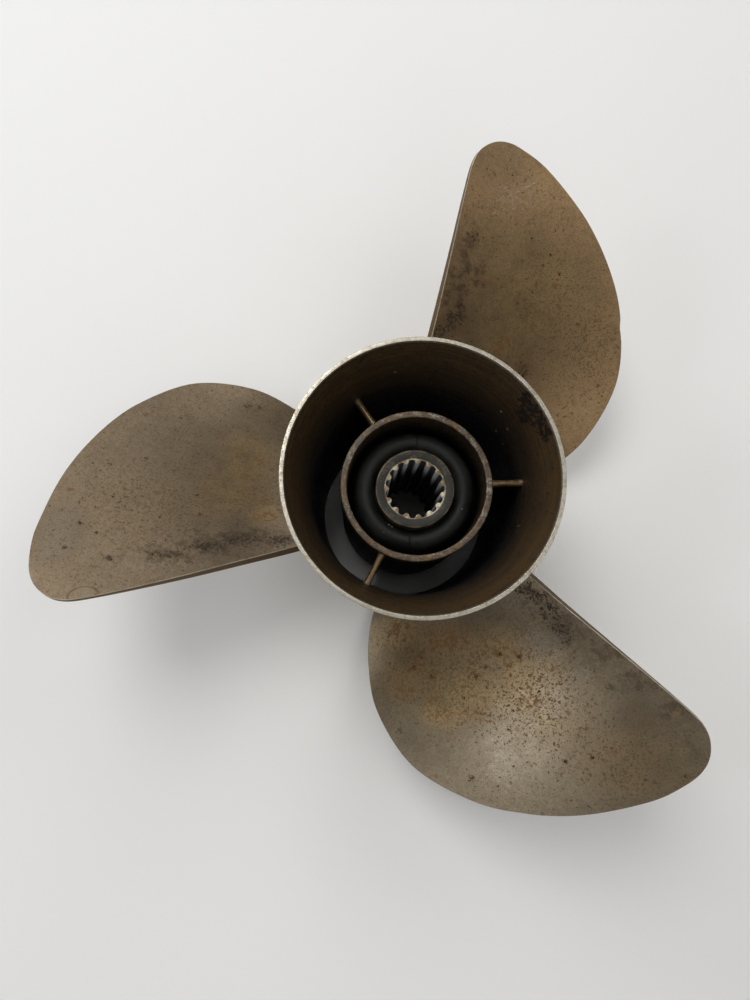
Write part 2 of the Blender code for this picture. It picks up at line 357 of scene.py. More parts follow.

# What differs from blade to blade. Each place is x, y, z and three radii in millimetres: crowded
# with specks (crowd), dark broken film (grime), painted shade towards the tip (shade), ochre film
# (warm), soot, rust, worn bright, on blade 3 also a painted sheen (rubbedAndSheen) and thin grey
# film, on blade 3 also a painted sheen (pale). A dot is x, y, z and a radius, and a scratch is x, y
# and a length.
bladeMarks = {
    1: {
        "film": (0.3, 0.2, 0.104), "fine": 0.58, "medium": 0.54, "halo": 0.22,
        "scratches": [(40.4, 143.2, 1.6), (48.6, 146.9, 2.2), (52.6, 149.2, 1.2),
            (57.4, 151.9, 2.6), (60.5, 153.6, 1.5), (55.1, 142.0, 1.5), (40.7, 138.5, 1.8),
            (45.5, 140.6, 2.4), (50.8, 141.8, 1.3), (36.8, 141.2, 1.0), (46.0, 150.0, 1.4),
            (62.2, 147.4, 1.2)],
        "crowd": [(68, 98, 70, 38, 34, 40), (96, 84, 60, 26, 30, 34)],
        "grime": [(22, 98, 90, 9, 18, 16), (27, 116, 96, 7, 16, 14), (34, 108, 92, 6, 12, 12)],
        # painted shade: the film darkened towards the tip
        "shade": [(42, 163, 111, 30, 19, 30)],
        "warm": [(46, 86, 70, 16, 12, 24), (62, 104, 78, 30, 24, 40)],
        "soot": [(14, 81, 86, 7, 6, 10), (21, 87, 85, 7, 7, 10), (25, 93, 85, 5, 7, 10),
            (30.7, 127, 98.6, 4.2, 4.2, 8), (62, 72, 57, 6, 6, 10)],
        "rust": [(30.3, 107.3, 90, 3, 6, 8), (37, 110, 88, 4, 4, 8), (49, 81, 67, 9, 6, 10),
            (92, 52.5, 40, 3, 2.5, 6), (83, 59, 45, 4, 3, 6), (76, 110, 76, 2.5, 2.5, 6),
            (64, 74, 58, 8, 7, 12)],
        "dots": [(78, 116.3, 80, 1.5), (63.8, 107, 78, 1.3), (56, 101, 77, 1.1),
            (61, 129.6, 90, 1.2), (68.4, 119, 83, 1.3), (113.3, 84, 58, 1.3), (90.3, 94, 65.5, 1.5),
            (107.5, 80.3, 56.5, 1.0), (36, 156.3, 110.3, 0.9), (49.2, 155.6, 106, 0.8),
            (44, 128.6, 97, 0.9), (72, 124, 84, 1.0)],
        "rubbedAndSheen": [(50, 147, 101, 18, 7, 16)],
    },
    2: {
        "film": (0.256, 0.196, 0.129), "fine": 0.62, "medium": 0.54, "halo": 0.22,
        "crowd": [(-88, 8, 62, 34, 34, 44), (-128, -8, 82, 34, 26, 36)],
        "grime": [(-74, -21, 82, 24, 9, 16), (-96, -24, 87, 24, 10, 16),
            (-118, -31, 95, 22, 7, 14)],
        # painted shade: the film darkened towards the tip
        "shade": [(-163, -22, 100, 16, 24, 30)],
        "warm": [(-84, 22, 50, 18, 24, 36), (-92, 2, 64, 20, 16, 30), (-74, -8, 68, 10, 9, 20)],
        "soot": [(-64, -22.5, 81, 11, 5, 12), (-83, -22.5, 82, 13, 5, 12),
            (-98, -26.5, 87, 15, 4, 12), (-116, -30.5, 93, 12, 2.6, 10),
            (-139.9, -33.2, 100, 3.6, 2.6, 8), (-88, 57, 38, 3, 3, 6)],
        "rust": [(-82.3, 56.6, 33.4, 3.6, 3.2, 8), (-72.8, 56.7, 27, 5, 2.6, 8),
            (-103.8, -9.8, 77.6, 3.2, 2.6, 8), (-136.5, 43.6, 65.3, 4.5, 2, 8),
            (-165, 0, 93, 4, 3, 8), (-80, 24, 48, 4, 6, 10), (-90, 12, 56, 5, 3, 10),
            (-74, -10.5, 70, 6, 4, 10), (-76, 0, 62, 8, 6, 12), (-145, -36.5, 103, 3, 2, 8),
            (-101.6, 38.2, 51, 5, 4, 10)],
        "dots": [(-143.8, -1.8, 86, 1.5), (-140.4, -5.1, 86, 1.0), (-148.2, 14.7, 80.5, 1.2),
            (-155.6, 14.6, 83, 1.0), (-132.9, 19.3, 73, 1.2), (-147.2, -20.9, 96, 1.2),
            (-107.1, 0.5, 72.5, 1.5), (-155.2, -16.5, 96, 1.6), (-158.6, -28.2, 102.5, 1.7),
            (-104, -9.8, 77.6, 1.4), (-122, -12, 84, 1.1), (-82, 57, 33, 1.6)],
        "rubbedAndSheen": [(-120, -36, 98, 40, 4, 14)],
        "pale": [(-163, -22, 100, 10, 18, 24)],
    },
    3: {
        "film": (0.207, 0.166, 0.112), "fine": 0.62, "medium": 0.64, "halo": 0.55,
        "crowd": [(24, -86, 52, 50, 34, 60), (60, -98, 76, 34, 26, 40), (96, -124, 98, 30, 20, 30)],
        "grime": [(58, -52, 83, 14, 12, 16), (72, -65, 89, 11, 11, 14), (86, -77, 95, 11, 9, 14),
            (100, -88, 101, 12, 7, 14), (116, -100, 107, 14, 6, 12)],
        # painted shade: the film darkened over the outer blade
        "shade": [(98, -104, 99, 14, 12, 20)],
        "warm": [(-3, -68, 24, 18, 14, 30), (20, -74, 46, 24, 13, 36), (42, -74, 64, 20, 12, 30),
            (0, -90, 34, 14, 15, 30), (24, -95, 53, 26, 15, 36), (18, -107, 50, 16, 9, 24),
            (56, -88, 76, 18, 14, 30)],
        "soot": [(53.6, -46, 81, 8, 4.5, 12), (59, -50, 84, 9, 5, 12),
            (64.2, -56.5, 85.3, 7.5, 6.5, 12), (67.5, -63.5, 86, 6, 7, 12), (71, -69, 87, 5, 5, 10),
            (88, -91.5, 94.6, 2.4, 2.4, 6)],
        "rust": [(11.7, -90, 43, 6, 5, 12), (6.7, -81, 37, 5, 4.5, 10), (3.4, -86, 36, 4, 3.6, 10),
            (12, -103, 46.6, 6, 5, 12), (16, -109, 50.6, 8, 4.6, 12), (33, -108, 61, 9, 5.5, 12),
            (44, -78, 66, 8, 5.5, 12), (52, -78, 72, 5, 4, 10), (33, -89, 58, 6, 4, 10),
            (-3, -100, 36, 5, 6, 12), (-6, -66, 21, 6, 5, 10), (2, -63, 28, 7, 5, 10),
            (56, -101, 75, 7, 4, 10), (-3, -95, 34, 4, 5, 10), (20, -70, 44, 18, 10, 24)],
        "dots": [(28.5, -137, 63.6, 2.2), (46.8, -114, 70, 1.5), (80.3, -123.4, 90, 1.7),
            (69.6, -126, 84, 1.4), (-4.9, -117.2, 41.5, 1.5), (37.3, -84.4, 61, 1.8),
            (32.8, -89.3, 58, 1.7), (11.7, -90.4, 43, 2.4), (6.7, -80.7, 37, 1.6),
            (3.4, -86, 36, 1.9), (43.9, -77.6, 66, 1.6), (52.2, -79, 72, 1.5),
            (115, -128, 106, 1.5), (100, -131, 100, 1.3), (60, -95, 78, 1.1), (27, -100, 56, 1.3)],
        # worn film and a painted sheen along the bright band across the blade
        "rubbedAndSheen": [(57, -70, 78, 7, 8, 16), (67, -77, 83, 8, 8, 16), (77, -86, 89, 9, 6, 16),
            (67, -99, 82, 15, 14, 22), (52, -112, 72, 14, 14, 20), (44, -130, 70, 12, 16, 20)],
        # thinner film and a painted sheen over the middle of the blade
        "pale": [(66, -94, 82, 20, 18, 30), (48, -122, 70, 24, 22, 30), (62, -76, 80, 13, 11, 20)],
    },
}

# A grinder's mark by blade 2's tip: centre and half sizes in millimetres, and how far it is turned
grindMark = {"blade": 2, "centre": (-146.4, -50.2), "half": (6.0, 3.9), "turn": 4.0}


def ovalLine():
    # an ellipse in plan: 1 on its line, where the scaled distance from the centre is 1; 1 inside
    centre, half = grindMark["centre"], grindMark["half"]
    start = (centre[0] * mm, centre[1] * mm, 0.0)
    moved = vectorNode("SUBTRACT", {0: work["coords"], 1: start})
    turned = turnedCoords(moved, -grindMark["turn"])
    shape = {0: turned, 1: (1 / (half[0] * mm), 1 / (half[1] * mm), 0.0)}
    away = vectorNode("LENGTH", {0: vectorNode("MULTIPLY", shape)})
    line = mathNode("ABSOLUTE", mathNode("SUBTRACT", away, 1.0))
    return ramp(line, 0.13, 0.03), ramp(away, 1.0, 0.8)


def mottledFilm(noise, film):
    # the film, darker and paler by noise
    dark, pale = (tuple(c * share for c in film) for share in bladeFinish["filmContrast"])
    return mixColour(ramp(noise, 0.40, 0.60), dark, pale)


def bladeMaterial(number):
    values, marks = bladeFinish, bladeMarks[number]
    startMaterial(f"bladeSteel{number}")
    edge, wall = attributeValue("edge"), attributeValue("wall")
    broad = noiseNode(22, 4, 0.6, 0.3)
    cloudy = noiseNode(85, 5, 0.6)
    mottle = noiseNode(330, 4, 0.65)
    grain = noiseNode(1300, 3, 0.65)
    fields = ("rust", "warm", "crowd", "shade", "grime", "pale", "rubbedAndSheen", "soot")
    places = {name: placesMask(marks.get(name, [])) for name in fields}
    zone, warm, crowd = places["rust"], places["warm"], places["crowd"]
    blend = weighted((broad, 0.14), (cloudy, 0.30), (mottle, 0.56))
    colour = mottledFilm(blend, marks["film"])
    # ochre where rust has spread, a halo round crowded specks, painted shade towards the tips,
    # darker by the trailing edge
    warmHere = times(warm, ramp(blend, 0.38, 0.58, 0.25, 0.75))
    colour = cover(colour, values["warmColour"], warmHere)
    colour = cover(colour, values["haloColour"], crowd, marks["halo"])
    # painted shade towards the tips, broken up by the film's noise
    shade = raggedMask(places["shade"], blend, 0.85, 2.6, 0.20, 1.10)
    colour = cover(colour, values["paintedShadeColour"], shade, 0.60)
    flaky = noiseNode(240, 6, 0.75)
    grime = raggedMask(places["grime"], flaky, 0.72, 4.4, 0.32, 1.10)
    colour = cover(colour, values["grimeColour"], grime, 0.70)
    # greyer where the film is thin, brighter where it is rubbed; on blade 3 both also paint a sheen
    # of reflected light
    colour = cover(colour, values["rubbedMetalAndSheen"], places["pale"], 0.26)
    brushed = noiseNode(330, 5, 0.7)
    rubbedAndSheen = raggedMask(places["rubbedAndSheen"], brushed, 0.7, 3.0, 0.35, 1.00)
    colour = cover(colour, values["rubbedMetalAndSheen"], rubbedAndSheen, 0.26)
    colour = shadeBy(colour, grain, 0.32, 0.68, 0.86, 1.12)
    pepper = noiseNode(1700, 2, 0.5)
    colour = shadeBy(colour, pepper, 0.58, 0.70, 1.0, 0.74)
    # short pale scratches, all leaning the same way
    if "scratches" in marks:
        turned = turnedCoords(work["coords"], -values["scratchLean"])
        lean = math.radians(values["scratchLean"])
        c, s = math.cos(lean), math.sin(lean)
        high, wide, deep = (values[f"scratch{name}Mm"] for name in ("Height", "Wide", "Deep"))
        lines = placesMask([(c * x + s * y, c * y - s * x, high, length, wide, deep)
                            for x, y, length in marks["scratches"]], turned)
        lines = mathNode("MULTIPLY", lines, mixValue(grain, 0.2, 1.1), True)
        colour = cover(colour, values["edgeMetal"], lines)
    # rust: broken patches, with specks and blots that crowd into them
    patches = raggedMask(zone, noiseNode(420, 5, 0.75), 0.50, 4.6, 0.45, 1.05)
    crowding = weighted((zone, 0.11), (warm, 0.06))
    blots = noisePeaks(300, crowding, 0.665, 0.755, pushedCoords(700, 1.0))
    rustSpecks = noisePeaks(560, crowding, 0.67, 0.74)
    rust = strongest((patches, 0.55), (rustSpecks, 0.70), (blots, 0.80))
    colour = cover(colour, values["rustColour"], rust)
    # brown specks in four sizes, then the single dark dots
    patchy = ramp(noiseNode(60, 3, 0.6), 0.32, 0.62, 0.0, 0.03)
    lift = weighted((crowd, 0.06), (patchy, 1.0))
    chance = times(mathNode("ADD", crowd, 0.25), 0.42)
    shaken = pushedCoords(600, 1.2)
    specks = strongest((noisePeaks(1050, lift, 0.650, 0.710), marks["fine"]),
                       (noisePeaks(620, lift, 0.672, 0.722), marks["medium"]),
                       (flatSpots(shaken, 2.6, chance, 0.25, 0.75), marks["medium"]),
                       (flatSpots(shaken, 6.5, chance, 0.45, 1.25), marks["medium"]))
    rusty = ramp(weighted((cloudy, 1.0), (zone, 0.25)), 0.36, 0.60)
    brown = mixColour(rusty, values["speckColour"], values["rustySpeck"])
    colour = cover(colour, brown, specks)
    dots = placesMask([(x, y, z, r, r, values["dotDeepMm"]) for x, y, z, r in marks["dots"]],
                      pushedCoords(800, 1.8))
    dots = raggedMask(dots, noiseNode(900, 4, 0.7), 0.80, 2.8, 0.40, 0.95)
    colour = cover(colour, values["dotColour"], dots)
    # soot along the trailing edge near the hub
    flaky = noiseNode(620, 6, 0.75)
    soot = raggedMask(places["soot"], flaky, 0.72, 4.8, 0.52, 0.92)
    dim = mixValue(times(places["soot"], mottle), 1.0, 0.72)
    colour = cover(scaleColour(colour, dim), values["sootColour"], soot, 0.88)
    # the grinder's mark, the dark edge wall and its bright corner
    if grindMark["blade"] == number:
        line, inside = ovalLine()
        colour = cover(colour, values["rubbedMetalAndSheen"], inside, 0.14)
        colour = cover(colour, values["speckColour"], line, 0.50)
    colour = cover(colour, values["edgeWall"], wall, 0.85)
    worn = ramp(noiseNode(260, 3), 0.30, 0.55, 0.25, 1.0)
    colour = cover(colour, values["edgeMetal"], edge, worn)
    rough = noiseRange(cloudy, *values["roughness"])
    dull = strongest((rust, 1.0), (specks, 1.0), (wall, 0.5), (soot, 1.0))
    relief = weighted((grain, 0.25), (mottle, 0.35), (specks, -0.4), (rust, 0.25))
    metal = mixValue(times(rust, 0.4), values["metallic"], 0.3)
    return finishMaterial(colour, mixValue(dull, rough, 0.56), metal, relief, 0.07)


# Blades

blade = {
    "sizesMm": {"root": 51.6, "embed": 1.2, "fillet": 6.0, "tipTrim": 0.04, "corner": 0.30},
    # rise of the face per unit of radius, and its height on the axis at the reference angle
    "rake": 0.337, "faceStartMm": 36.7, "referenceAngle": 60.0,
    "pitchMm": 386.0, "pitchGainMm": 32.0, "gainSpanMm": (112.0, 178.0),
    # radius in mm and angle of the face's edge: up the trailing edge, round the tip and down again
    "outline": [(53.0, 85.6), (66.0, 84.2), (90.0, 82.0), (120.0, 80.6), (148.0, 79.6),
                (162.0, 78.8), (169.5, 77.0), (173.8, 74.4), (174.6, 71.0), (172.6, 65.6),
                (166.0, 56.4), (157.6, 47.5), (148.0, 39.6), (133.0, 30.1), (110.0, 21.6),
                (88.0, 16.6), (70.0, 13.8), (53.0, 12.7)],
    # thickness at root and tip
    "greatestMm": (8.4, 1.9), "trailingMm": (3.8, 1.9), "leadingMm": (1.3, 1.5),
    "levels": 96, "faceSteps": 64, "backSteps": 44, "cornerSteps": 5, "wallSteps": 4,
    "noseSteps": 9, "waveMm": 0.10,
    "thinPower": 0.8, "humpPower": 0.85, "fadePower": 0.5, "nickGain": 1.4, "twistOver": 20.0,
    # how use has bent each blade, growing towards its tip: mm outward, degrees round (growing
    # evenly and squared) and mm of twist over twenty degrees
    "bends": {1: (0.7, -0.4, 1.4, -2.1), 2: (0.2, 0.6, -0.7, 2.1), 3: (0.0, 0.05, 0.15, 0.5)},
    # nicks in the leading edge: blade, radius, width and depth in mm
    "nicks": [(1, 146.5, 1.6, 0.9), (2, 171.8, 2.2, 0.8), (3, 158.0, 1.4, 0.4)],
}


def bladeEdges():
    # leading and trailing edge as (radius, angle) arrays with rising radius
    outline = np.array(blade["outline"])
    flat = polarGrid(outline[:, 0], outline[:, 1], np.zeros(len(outline)))[:, :2]
    curve = smoothCurve(flat, 40)
    radius = np.hypot(curve[:, 0], curve[:, 1])
    angle = np.degrees(np.arctan2(curve[:, 1], curve[:, 0]))
    peak = int(radius.argmax())
    return (radius[peak:][::-1], angle[peak:][::-1]), (radius[:peak + 1], angle[:peak + 1])


def bladePitch(radius):
    low, high = blade["gainSpanMm"]
    return blade["pitchMm"] + blade["pitchGainMm"] * ease((radius - low) / (high - low))


def bladeSkin(number, turn):
    # a section at each radius: points (s, d) of chord length and depth under the face, wrapped on
    # a cylinder: z = start + rake r + pitch (a - reference) / 360 - d cos(slope), and d turns the
    # point by d sin(slope) / r
    sizes = blade["sizesMm"]
    fillet = sizes["fillet"]
    (leadR, leadA), (trailR, trailA) = bladeEdges()
    tip = leadR[-1] - sizes["tipTrim"]
    root = sizes["root"]
    inner = root + np.array([-sizes["embed"], -0.4 * sizes["embed"], 0.0])
    foot = root + fillet * (1 - np.cos(np.linspace(0.12, 1.0, 14) * math.pi / 2))
    rise = np.sin(np.linspace(0.0, 1.0, blade["levels"])[1:] * math.pi / 2)
    outer = foot[-1] + (tip - foot[-1]) * rise
    level = np.concatenate([inner, foot, outer])[:, None]
    reach = np.maximum(level, root)
    angleLead, angleTrail = np.interp(reach, leadR, leadA), np.interp(reach, trailR, trailA)
    for nickBlade, nickRadius, width, depth in blade["nicks"]:
        if nickBlade == number:
            notch = np.degrees(depth / nickRadius) * blade["nickGain"]
            angleLead = angleLead + notch * bump(level, nickRadius, width)
    slope = np.arctan2(bladePitch(reach), 2 * math.pi * reach)
    chord = np.radians(angleTrail - angleLead) * reach / np.cos(slope)
    outward = np.clip((reach - root) / (tip - root), 0.0, 1.0)
    lead = lerp(*blade["leadingMm"], outward)
    trail = lerp(*blade["trailingMm"], ease(outward * 1.4 - 0.4))
    greatest = lerp(*blade["greatestMm"], outward ** blade["thinPower"])
    hump = np.maximum(0.0, greatest - (lead + trail) / 2)
    corner = np.minimum(sizes["corner"], chord * 0.2)

    def thickness(share):
        share = np.clip(share, 0.0, 1.0)
        swell = np.sin(math.pi * share) ** blade["humpPower"]
        return lerp(lead, trail, share) + hump * swell

    # the loop round the section: s, d and which way a fillet swells it, along the face, round a
    # corner, up the trailing wall, round the next corner, along the back and round the nose
    quarter = np.linspace(0.0, math.pi / 2, blade["cornerSteps"])[None, :]
    nose = np.linspace(math.pi, 0.0, blade["noseSteps"])[None, :]
    faceTurn = np.linspace(0.0, math.pi, blade["faceSteps"])[None, :]
    backTurn = np.linspace(math.pi, 0.0, blade["backSteps"])[None, :]
    faceShare, backShare = 0.5 - 0.5 * np.cos(faceTurn), 0.5 - 0.5 * np.cos(backTurn)
    wallShare = np.linspace(0.03, 0.97, blade["wallSteps"])[None, :]
    flat = chord - corner
    loop = [(faceShare * flat, 0.0, -1.0),
            (flat + corner * np.sin(quarter), corner - corner * np.cos(quarter), -1.0),
            (chord, corner + wallShare * (trail - 2 * corner), 0.0),
            (flat + corner * np.cos(quarter), trail - corner + corner * np.sin(quarter), 1.0),
            (backShare * flat, thickness(backShare), 1.0),
            (-lead * 0.5 * np.sin(nose), lead * (0.5 - 0.5 * np.cos(nose)), 0.0)]
    s, d, side = (np.hstack(group) for group in zip(*(np.broadcast_arrays(*p) for p in loop)))
    share = np.clip(s / np.maximum(chord, 1e-6), 0.0, 1.0)
    # a quarter-round fillet swells both sides at the root, and fades at the two edges
    above = np.clip(level - root, 0.0, fillet)
    quarterRound = fillet - np.sqrt(np.maximum(fillet ** 2 - (fillet - above) ** 2, 0.0))
    fade = np.sin(math.pi * share) ** blade["fadePower"]
    d = d + side * quarterRound * fade
    # slow unevenness of a hand-finished casting: a sine along the blade times one across it
    along, across = level / 9.0 + 3.0 * share + number, 7.0 * share + 1.7 * number
    d = d + blade["waveMm"] * np.sin(along) * np.sin(across) * outward
    height = (blade["faceStartMm"] + blade["rake"] * reach
              + bladePitch(reach) * (angleLead - blade["referenceAngle"]) / 360.0
              + s * np.sin(slope) - d * np.cos(slope))
    angle = angleLead + np.degrees((s * np.cos(slope) + d * np.sin(slope)) / reach)
    taper = hubOuterRadius(height) - root
    radius = level + taper * (1.0 - ease((level - root) / (2 * fillet)))
    further, sweepOne, sweepTwo, twist = blade["bends"][number]
    radius = radius + further * outward ** 2
    sweep = sweepOne * outward + sweepTwo * outward ** 2
    height = (height + blade["rake"] * further * outward ** 2 + bladePitch(reach) * sweep / 360.0
              + twist * outward ** 2 * (angle - blade["referenceAngle"]) / blade["twistOver"])
    angle = angle + sweep
    skin = turnGrid(polarGrid(radius, angle, height), turn)
    skin = np.concatenate([skin, skin[:, :1]], axis=1)
    facePart = blade["faceSteps"] + blade["cornerSteps"]
    edgeMark, wallMark = np.zeros(skin.shape[:2]), np.zeros(skin.shape[:2])
    edgeMark[:, blade["faceSteps"] - 1:facePart] = 1.0
    wallMark[:, facePart:facePart + blade["wallSteps"]] = 1.0
    made = skinMesh(f"bladeSkin{number}", [skin], 40.0, {"edge": edgeMark, "wall": wallMark})
    closeHoles(made)
    return made


def closeHoles(made):
    # fills a skin's open loops, then drops the triangles that the fill lays back to back at a tip
    shell = bmesh.new()
    shell.from_mesh(made.data)
    openEdges = [edge for edge in shell.edges if edge.is_boundary]
    bmesh.ops.holes_fill(shell, edges=openEdges, sides=0)
    bmesh.ops.triangulate(shell, faces=[face for face in shell.faces if len(face.verts) > 4])
    corners = [frozenset(face.verts) for face in shell.faces]
    found = Counter(corners)
    doubled = [face for face, key in zip(shell.faces, corners) if found[key] > 1]
    bmesh.ops.delete(shell, geom=doubled, context="FACES")
    bmesh.ops.recalc_face_normals(shell, faces=shell.faces)
    shell.to_mesh(made.data)
    shell.free()


# Hub shell: the straight barrel, its flare and the machined lip in one turned wall

hub = {
    "barrelEndMm": 92.0, "lipHeightMm": 133.0, "innerMm": (46.5, 49.7), "outerMm": (49.8, 52.8),
    "lipInnerMm": 59.2, "lipOuterMm": 61.0, "flarePower": 1.6, "stepMm": 0.35, "sides": 288,
    "lipShiftMm": (0.7, -0.2), "forwardCornersMm": (1.2, 1.0), "lipCornersMm": (0.22, 0.14),
    # half of what the bend from barrel to flare is rounded over
    "bendGapMm": 0.8,
    # the first is soot at the barrel's bottom, lifted and tinted blue as painted light
    "deepSootWithPaintedLight": (0.032, 0.035, 0.047), "sootMid": (0.042, 0.028, 0.017),
    "wallBrown": (0.106, 0.063, 0.024), "sootFadeMm": (72, 108), "brownFadeMm": (96, 130),
    "lipSteel": (0.50, 0.475, 0.405), "lipStain": (0.29, 0.240, 0.170),
    "wallFleck": (0.30, 0.24, 0.15), "stainBlack": (0.012, 0.009, 0.010), "chipMm": (0.8, 0.8, 1.1),
    # places on the wall: centres of chips, then scrapes and stains with their radii
    "chips": [(39.2, 34.1, 108.7), (43.0, 27.3, 103.4), (40.1, 29.3, 91.7), (40.1, 28.6, 78.4),
              (-10.0, 51.8, 112.1), (43.7, 23.5, 89.5)],
    "scrapes": [(36, 31, 90, 8, 8, 7), (45, 8, 96, 5, 12, 8), (47, -16, 100, 4, 7, 9)],
    "stains": [(47, 34, 128, 5, 5, 7), (50.6, 29, 127, 6, 6, 8), (52.5, 24, 127, 5, 6, 7),
               (47, 29, 120, 5, 6, 7), (54, 19, 128, 4, 5, 6)],
}


def hubOuterRadius(height):
    # the barrel's outside: a straight taper from the forward face to the flare
    return lerp(*hub["outerMm"], height / hub["barrelEndMm"])


def hubShell():
    # each radius: a straight taper to the barrel's end, then r = r0 + (r1 - r0) share^power
    end, top, gap = hub["barrelEndMm"], hub["lipHeightMm"], hub["bendGapMm"]
    (innerLow, innerEnd), (outerLow, outerEnd) = hub["innerMm"], hub["outerMm"]
    lipInner, lipOuter = hub["lipInnerMm"], hub["lipOuterMm"]
    outerCorner, innerCorner = hub["forwardCornersMm"]

    def flare(height, low, high):
        return lerp(low, high, ((height - end) / (top - end)) ** hub["flarePower"])

    straight = np.linspace(outerCorner, end - gap, 24)
    opening = np.linspace(end + gap, top - 0.9, 30)
    outside = [roundCorner((40, 0), (outerLow, 0), (outerLow, 20), outerCorner),
               wallPoints(hubOuterRadius(straight), straight),
               wallPoints(flare(opening, outerEnd, lipOuter), opening)]
    lipUp, lipDown = hub["lipCornersMm"]
    lip = [roundCorner((lipOuter - 0.1, top - 5), (lipOuter, top), (lipInner, top), lipUp),
           roundCorner((lipOuter, top), (lipInner, top), (lipInner - 0.1, top - 5), lipDown)]
    back, down, step = opening[::-1], straight[::-1], hub["stepMm"]
    inside = [wallPoints(flare(back, innerEnd, lipInner), back),
              wallPoints(lerp(innerLow, innerEnd, down / end) - step, down),
              roundCorner((innerLow, 20), (innerLow - step, 0), (60, 0), innerCorner)]
    outside, lip, inside = np.vstack(outside), np.vstack(lip), np.vstack(inside)
    rounds = [outside, np.vstack([outside[-1:], lip, inside[:1]]), np.vstack([inside, outside[:1]])]
    grids = [turnedGrid(profile, hub["sides"]) for profile in rounds]
    # the lip runs a little off centre: shift = full shift * share of the flare's height squared
    for grid in grids:
        share = np.clip((grid[..., 2] - end) / (top - end), 0.0, 1.0) ** 2
        for axis, shift in enumerate(hub["lipShiftMm"]):
            grid[..., axis] += shift * share
    return skinMesh("hubShell", grids, 30.0)


def outsideMaterial():
    # the blades' film without their own marks
    startMaterial("hubOutsideSteel")
    cloudy = noiseNode(60, 6, 0.65)
    mottle = noiseNode(260, 4, 0.65)
    grain = noiseNode(1300, 3, 0.65)
    colour = mottledFilm(cloudy, bladeMarks[2]["film"])
    colour = shadeBy(colour, grain, 0.32, 0.68, 0.86, 1.12)
    rust = ramp(noiseNode(120, 5, 0.7), 0.55, 0.75)
    colour = cover(colour, bladeFinish["rustColour"], rust, 0.40)
    specks = ramp(noiseNode(520, 3, 0.6), 0.62, 0.70)
    colour = cover(colour, bladeFinish["speckColour"], specks, 0.7)
    relief = weighted((grain, 1.0), (mottle, 2.0))
    return finishMaterial(colour, noiseRange(cloudy, 0.32, 0.50), 0.8, relief, 0.08)


def lipMaterial():
    # bare turned steel with fine ticks and brown stain
    startMaterial("lipSteel")
    ticks = noiseNode(620, 6, 0.8)
    stain = noiseNode(150, 5, 0.75)
    colour = mixColour(ramp(ticks, 0.34, 0.56), hub["lipStain"], hub["lipSteel"])
    colour = cover(colour, hub["lipStain"], ramp(stain, 0.50, 0.66), 0.65)
    return finishMaterial(colour, noiseRange(ticks, 0.50, 0.30), 0.85, ticks, 0.03)


def sootyWallMaterial():
    # brown near the lip, black with soot deeper down, lifted and tinted blue there as painted
    # light, with scratches, flecks and a flaked stain
    startMaterial("sootyWall")
    drift = mathNode("SUBTRACT", noiseNode(40, 5, 0.6), 0.5)
    level = weighted((heightAlong(), 1.0), (drift, 0.03))
    # painted light: the deepest soot lifted and tinted blue
    colour = mixColour(rampMm(level, hub["sootFadeMm"]), hub["deepSootWithPaintedLight"], hub["sootMid"])
    colour = cover(colour, hub["wallBrown"], rampMm(level, hub["brownFadeMm"]))
    mottled = noiseNode(220, 6, 0.7)
    colour = cover(colour, hub["sootMid"], ramp(mottled, 0.40, 0.62), 0.60)
    # fine level rings left by the casting's turning
    rings = stretchedNoise((18, 18, 900))
    colour = shadeBy(colour, rings, 0.3, 0.7, 0.82, 1.18)
    flecks = ramp(noiseNode(420, 3, 0.6), 0.70, 0.76, 0.0, 0.65)
    chips = placesMask([(*place, *hub["chipMm"]) for place in hub["chips"]])
    colour = cover(colour, hub["wallFleck"], mathNode("MAXIMUM", flecks, chips))
    slant = stretchedNoise((200, 900, 130), turn=(0.5, 0.0, 0.0))
    slant = times(ramp(slant, 0.64, 0.72), placesMask(hub["scrapes"]))
    colour = cover(colour, hub["wallFleck"], slant, 0.7)
    flaky = noiseNode(420, 6, 0.75)
    stain = placesMask(hub["stains"])
    stain = raggedMask(stain, flaky, 0.80, 4.4, 0.42, 0.60)
    colour = cover(colour, hub["stainBlack"], stain, 0.88)
    rough = noiseRange(mottled, 0.42, 0.62)
    return finishMaterial(colour, rough, 0.55, mottled, 0.15, 0.6)


# Inner hub tube and ribs

tube = {
    "innerMm": 32.0, "outerMm": 35.1, "spanMm": (8.0, 106.1), "edgeMm": 0.7, "sides": 216,
    "sootFadeMm": (80, 104), "faceFromMm": (105.0, 105.8),
    "faceBrown": (0.158, 0.110, 0.064), "facePurple": (0.078, 0.064, 0.052),
    "faceGrey": (0.26, 0.245, 0.205), "faceRust": (0.21, 0.095, 0.026),
    "facePit": (0.020, 0.015, 0.013), "boreBrown": (0.085, 0.055, 0.032),
    "soot": (0.010, 0.010, 0.011),
}

rib = {
    "angle": 3.0, "thicknessMm": 2.7, "forwardMm": 12.0, "aftAtHubMm": 101.5, "aftAtWallMm": 99.2,
    "flareMm": 0.5, "flareOverMm": 2.6, "flareUp": 0.7, "embedMm": 0.8, "roundMm": 1.3,
    "along": 40, "around": 40,
    "bronze": (0.27, 0.190, 0.100), "sootFadeMm": (94.5, 99.5),
}


def innerHubTube():
    inner, outer, edge = tube["innerMm"], tube["outerMm"], tube["edgeMm"]
    bottom, top = tube["spanMm"]
    up = np.linspace(bottom + 2, top - 2, 20)
    profile = np.vstack([roundCorner((inner, bottom), (outer, bottom), (outer, top), edge),
                         wallPoints(outer, up),
                         roundCorner((outer, bottom), (outer, top), (inner, top), edge),
                         roundCorner((outer, top), (inner, top), (inner, bottom), edge),
                         wallPoints(inner, up[::-1]),
                         roundCorner((inner, top), (inner, bottom), (outer, bottom), edge)])
    grid = turnedGrid(np.vstack([profile, profile[:1]]), tube["sides"])
    return skinMesh("innerHubTube", [grid], 40.0)


